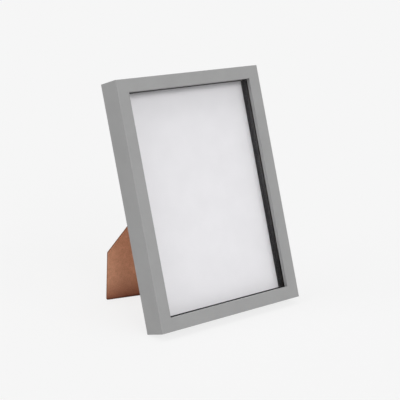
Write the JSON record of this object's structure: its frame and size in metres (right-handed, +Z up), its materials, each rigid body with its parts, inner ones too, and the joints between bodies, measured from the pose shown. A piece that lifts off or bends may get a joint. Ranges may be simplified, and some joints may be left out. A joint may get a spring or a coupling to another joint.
{
  "type": "shadow box frame",
  "caption": "Deep box frame with mitred rails, glass, black spacers and a light insert, leaning back on a fold-out diagonal easel strut.",
  "frame": {"origin": "on the table, under the middle of the bounding box of the standing frame with its strut open", "axes": "+Z up; +X to the right as seen from the front; -Y towards the viewer, +Y towards the strut behind"},
  "size_m": [0.236, 0.1776, 0.3184],
  "materials": {
    "grey_moulding": "MDF moulding with satin mid-grey paint",
    "black_card": "matt black",
    "white_card": "matt off-white",
    "hardboard": "smooth brown hardboard, unpainted",
    "glass": "clear, polished",
    "steel": "zinc-plated, stamped",
    "brassed_steel": "brass-plated, stamped"
  },
  "bodies": {
    "frame": {"bottom_rail": "grey_moulding", "right_stile": "grey_moulding", "top_rail": "grey_moulding", "left_stile": "grey_moulding", "v_nail_lower_left": "steel", "v_nail_lower_right": "steel", "v_nail_upper_right": "steel", "v_nail_upper_left": "steel", "front_glass": "glass", "spacer_top": "black_card", "spacer_bottom": "black_card", "spacer_left": "black_card", "spacer_right": "black_card", "insert_card": "white_card", "back_board": "hardboard", "steel_point_bottom_1_prong": "steel", "steel_point_bottom_2_prong": "steel", "steel_point_right_1_prong": "steel", "steel_point_right_2_prong": "steel", "steel_point_top_1_prong": "steel", "steel_point_top_2_prong": "steel", "steel_point_left_1_prong": "steel", "steel_point_left_2_prong": "steel", "hinge_board_leaf": "steel", "board_rivet_1": "steel", "board_rivet_2": "steel", "hinge_pin": "steel", "portrait_hanger": "brassed_steel", "portrait_hanger_nail_1": "brassed_steel", "portrait_hanger_nail_2": "brassed_steel", "landscape_hanger": "brassed_steel", "landscape_hanger_nail_1": "brassed_steel", "landscape_hanger_nail_2": "brassed_steel"},
    "strut": {"easel_strut": "hardboard", "hinge_strut_leaf": "steel", "strut_rivet_1": "steel", "strut_rivet_2": "steel"},
    "steel_point_bottom_1": {"steel_point_bottom_1_tongue": "steel"},
    "steel_point_bottom_2": {"steel_point_bottom_2_tongue": "steel"},
    "steel_point_right_1": {"steel_point_right_1_tongue": "steel"},
    "steel_point_right_2": {"steel_point_right_2_tongue": "steel"},
    "steel_point_top_1": {"steel_point_top_1_tongue": "steel"},
    "steel_point_top_2": {"steel_point_top_2_tongue": "steel"},
    "steel_point_left_1": {"steel_point_left_1_tongue": "steel"},
    "steel_point_left_2": {"steel_point_left_2_tongue": "steel"}
  },
  "joints": [
    {"name": "strut_fold", "type": "hinge", "parent": "frame", "child": "strut", "pos_m": [0.078, 0.01857, 0.26924], "axis": [0.8305, -0.1641, -0.5324], "range_deg": [-27, 0]},
    {"name": "steel_point_bottom_1_bend", "type": "hinge", "parent": "frame", "child": "steel_point_bottom_1", "pos_m": [-0.035, -0.06201, 0.01437], "axis": [-1, 0, 0], "range_deg": [0, 80]},
    {"name": "steel_point_bottom_2_bend", "type": "hinge", "parent": "frame", "child": "steel_point_bottom_2", "pos_m": [0.035, -0.06201, 0.01437], "axis": [-1, 0, 0], "range_deg": [0, 80]},
    {"name": "steel_point_right_1_bend", "type": "hinge", "parent": "frame", "child": "steel_point_right_1", "pos_m": [0.1058, -0.03572, 0.09971], "axis": [0, -0.2945, -0.9557], "range_deg": [0, 80]},
    {"name": "steel_point_right_2_bend", "type": "hinge", "parent": "frame", "child": "steel_point_right_2", "pos_m": [0.1058, -0.00038, 0.21439], "axis": [0, -0.2945, -0.9557], "range_deg": [0, 80]},
    {"name": "steel_point_top_1_bend", "type": "hinge", "parent": "frame", "child": "steel_point_top_1", "pos_m": [0.035, 0.02592, 0.29973], "axis": [1, 0, 0], "range_deg": [0, 80]},
    {"name": "steel_point_top_2_bend", "type": "hinge", "parent": "frame", "child": "steel_point_top_2", "pos_m": [-0.035, 0.02592, 0.29973], "axis": [1, 0, 0], "range_deg": [0, 80]},
    {"name": "steel_point_left_1_bend", "type": "hinge", "parent": "frame", "child": "steel_point_left_1", "pos_m": [-0.1058, -0.00038, 0.21439], "axis": [0, 0.2945, 0.9557], "range_deg": [0, 80]},
    {"name": "steel_point_left_2_bend", "type": "hinge", "parent": "frame", "child": "steel_point_left_2", "pos_m": [-0.1058, -0.03572, 0.09971], "axis": [0, 0.2945, 0.9557], "range_deg": [0, 80]}
  ]
}
